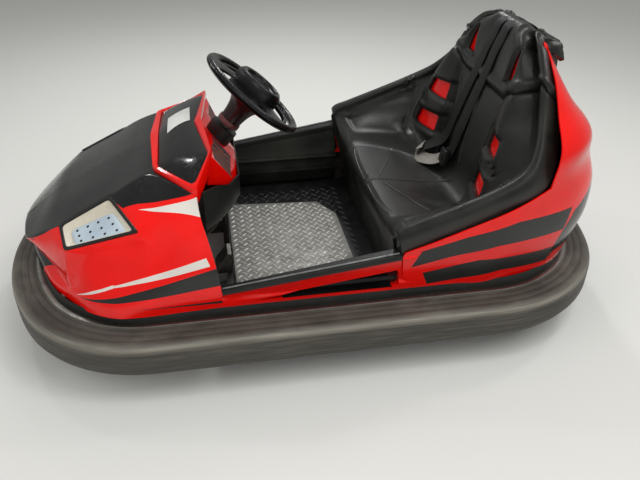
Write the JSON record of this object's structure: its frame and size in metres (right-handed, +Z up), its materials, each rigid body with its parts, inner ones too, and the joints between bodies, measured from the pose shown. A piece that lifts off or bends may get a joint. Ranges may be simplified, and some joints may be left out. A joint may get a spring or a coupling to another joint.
{
  "type": "bumper car",
  "caption": "Two-seat fairground bumper car with a rubber ring bumper, bucket seat, steering wheel and a swivelling drive wheel under the nose.",
  "frame": {"origin": "on the floor, below the middle of the bounding box", "axes": "+X towards the nose, +Y to the driver's left, +Z up"},
  "size_m": [1.9496, 1.2038, 0.9083],
  "materials": {
    "rubber": "matte, scuffed",
    "steel": "satin black",
    "red": "gloss red gel coat",
    "black_gloss": "gloss black, dusty",
    "trim": "satin black",
    "seat": "satin black moulded foam skin",
    "tread": "worn tread plate",
    "floor": "satin black",
    "lamp_frame": "satin dark",
    "lens": "clear pale lamp cover",
    "belt": "woven webbing",
    "boot": "dull dark maroon",
    "bare": "bare steel",
    "motor": "dark grey paint",
    "tyre": "solid rubber",
    "cast": "cast hub"
  },
  "bodies": {
    "chassis": {"bumper_ring": "rubber", "bumper_rim": "steel", "chassis_frame": "steel", "floor_pan": "floor", "tread_plate": "tread", "front_body": "red", "hood_panel": "black_gloss", "fairing_rim": "red", "fairing_panel": "black_gloss", "dash_console": "red", "dash_cover": "trim", "toe_board": "trim", "seat_cushion": "seat", "seat_back": "seat", "headrest": "seat", "seat_belts": "belt", "belt_buckle": "trim", "belt_bracket": "trim", "headlamp_frames": "lamp_frame", "headlamp_lenses": "lens", "sill_trims": "trim", "rear_body": "red", "tail_panel": "black_gloss", "accelerator_pedal": "bare", "rear_axle_carriers": "steel", "side_panel_left": "red", "side_panel_right": "red", "inner_sill_left": "trim", "inner_sill_right": "trim", "seat_bolster_left": "seat", "seat_bolster_right": "seat", "column_collar": "trim", "drive_carrier": "steel"},
    "steering": {"steering_wheel": "black_gloss", "steering_hub": "black_gloss", "steering_boot": "boot", "steering_column": "bare"},
    "drive_unit": {"drive_fork": "steel", "drive_motor": "motor"},
    "drive_wheel": {"drive_tyre": "tyre", "drive_hub": "cast"},
    "rear_wheel_left": {"rear_tyre_left": "tyre", "rear_hub_left": "cast"},
    "rear_wheel_right": {"rear_tyre_right": "tyre", "rear_hub_right": "cast"}
  },
  "joints": [
    {"name": "drive_steer", "type": "hinge", "parent": "chassis", "child": "drive_unit", "pos_m": [0.50854, 0, 0.29], "axis": [0, 0, 1], "continuous": true},
    {"name": "drive_roll", "type": "hinge", "parent": "drive_unit", "child": "drive_wheel", "pos_m": [0.50854, 0, 0.095], "axis": [0, 1, 0], "continuous": true},
    {"name": "steering_turn", "type": "hinge", "parent": "chassis", "child": "steering", "pos_m": [0.153, 0, 0.7], "axis": [-0.6756, 0, 0.7373], "continuous": true},
    {"name": "rear_roll_left", "type": "hinge", "parent": "chassis", "child": "rear_wheel_left", "pos_m": [-0.61, 0.33, 0.08], "axis": [0, 1, 0], "continuous": true},
    {"name": "rear_roll_right", "type": "hinge", "parent": "chassis", "child": "rear_wheel_right", "pos_m": [-0.61, -0.33, 0.08], "axis": [0, 1, 0], "continuous": true}
  ],
  "couplings": [
    {"joint": "steering_turn", "follows": "drive_steer", "ratio": 1}
  ]
}
